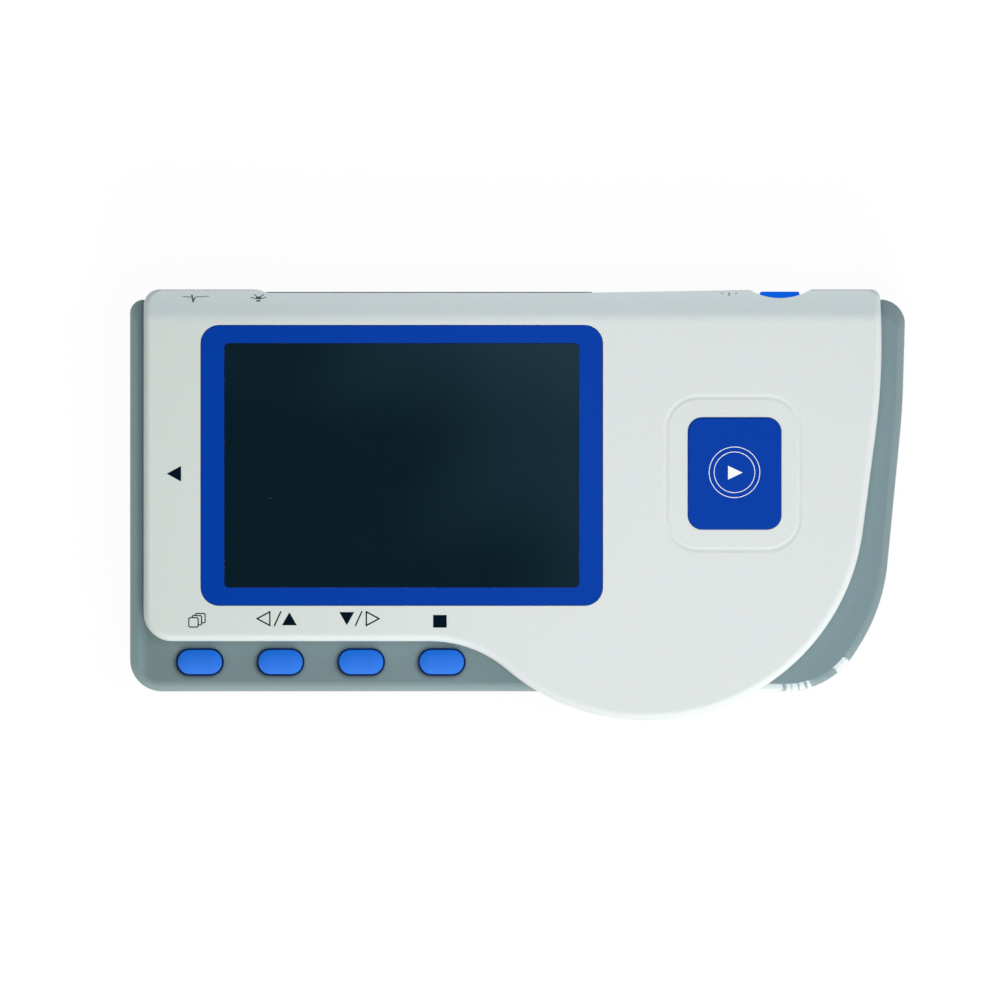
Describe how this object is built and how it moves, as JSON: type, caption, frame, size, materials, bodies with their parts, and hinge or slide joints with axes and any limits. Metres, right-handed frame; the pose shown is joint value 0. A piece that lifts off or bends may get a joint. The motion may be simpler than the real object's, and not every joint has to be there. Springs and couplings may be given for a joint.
{
  "type": "ecg home monitor",
  "caption": "Flat handheld heart monitor with a wave-shaped front cover, framed display, press keys, bare electrodes, lead socket and sliding battery door.",
  "frame": {"origin": "middle of the back face, on which the monitor lies", "axes": "+X along the length with the start key at the +X end, +Y towards the edge with the power key and the sockets, +Z out of the display"},
  "size_m": [0.125, 0.0694, 0.02],
  "materials": {
    "white_plastic": "satin",
    "grey_plastic": "gloss",
    "grey_case_plastic": "satin",
    "blue_frame_plastic": "gloss",
    "dark_window": "polished",
    "blue_key_plastic": "gloss",
    "power_key_plastic": "gloss",
    "gasket_foam": "matte",
    "lcd_glass": "gloss",
    "bracket_plastic": "matte",
    "flex_film": "satin",
    "screw_steel": "satin",
    "switch_plastic": "matte",
    "plunger_plastic": "matte",
    "board_laminate": "satin",
    "chip_resin": "matte",
    "connector_plastic": "satin",
    "cell_jacket": "satin",
    "spring_steel": "satin",
    "electrode_steel": "satin",
    "contact_brass": "satin"
  },
  "bodies": {
    "housing": {"front_cover": "white_plastic", "front_frame": "grey_plastic", "rear_case": "grey_case_plastic", "display_frame": "blue_frame_plastic", "display_window": "dark_window", "display_gasket": "gasket_foam", "lcd_panel": "lcd_glass", "lcd_bracket": "bracket_plastic", "lcd_ribbon": "flex_film", "bracket_screws": "screw_steel", "key_switches": "switch_plastic", "power_switch": "switch_plastic", "main_board": "board_laminate", "board_chips": "chip_resin", "board_screws": "screw_steel", "ribbon_socket": "connector_plastic", "buzzer": "switch_plastic", "lead_socket": "switch_plastic", "usb_shell": "electrode_steel", "usb_tongue": "switch_plastic", "upper_cell": "cell_jacket", "lower_cell": "cell_jacket", "upper_cell_spring": "spring_steel", "lower_cell_spring": "spring_steel", "cell_contacts": "spring_steel", "left_electrode": "electrode_steel", "top_electrode": "electrode_steel", "back_electrode": "electrode_steel", "electrode_pins": "contact_brass", "case_screws": "screw_steel"},
    "menu_key_body": {"menu_key": "blue_key_plastic", "menu_plunger": "plunger_plastic"},
    "left_up_key_body": {"left_up_key": "blue_key_plastic", "left_up_plunger": "plunger_plastic"},
    "right_down_key_body": {"right_down_key": "blue_key_plastic", "right_down_plunger": "plunger_plastic"},
    "stop_key_body": {"stop_key": "blue_key_plastic", "stop_plunger": "plunger_plastic"},
    "start_key_body": {"start_key": "blue_frame_plastic", "start_plunger": "plunger_plastic"},
    "power_key_body": {"power_key": "power_key_plastic", "power_plunger": "plunger_plastic"},
    "battery_door_body": {"battery_door": "grey_case_plastic"}
  },
  "joints": [
    {"name": "menu_key_press", "type": "slide", "parent": "housing", "child": "menu_key_body", "axis": [0, 0, -1], "range_m": [0, 0.0005], "stiffness_N_per_m": 1500},
    {"name": "left_up_key_press", "type": "slide", "parent": "housing", "child": "left_up_key_body", "axis": [0, 0, -1], "range_m": [0, 0.0005], "stiffness_N_per_m": 1500},
    {"name": "right_down_key_press", "type": "slide", "parent": "housing", "child": "right_down_key_body", "axis": [0, 0, -1], "range_m": [0, 0.0005], "stiffness_N_per_m": 1500},
    {"name": "stop_key_press", "type": "slide", "parent": "housing", "child": "stop_key_body", "axis": [0, 0, -1], "range_m": [0, 0.0005], "stiffness_N_per_m": 1500},
    {"name": "start_key_press", "type": "slide", "parent": "housing", "child": "start_key_body", "axis": [0, 0, -1], "range_m": [0, 0.0005], "stiffness_N_per_m": 1500},
    {"name": "power_key_press", "type": "slide", "parent": "housing", "child": "power_key_body", "axis": [0, -1, 0], "range_m": [0, 0.0005], "stiffness_N_per_m": 1500},
    {"name": "battery_door_slide", "type": "slide", "parent": "housing", "child": "battery_door_body", "axis": [-1, 0, 0], "range_m": [0, 0.062]}
  ]
}
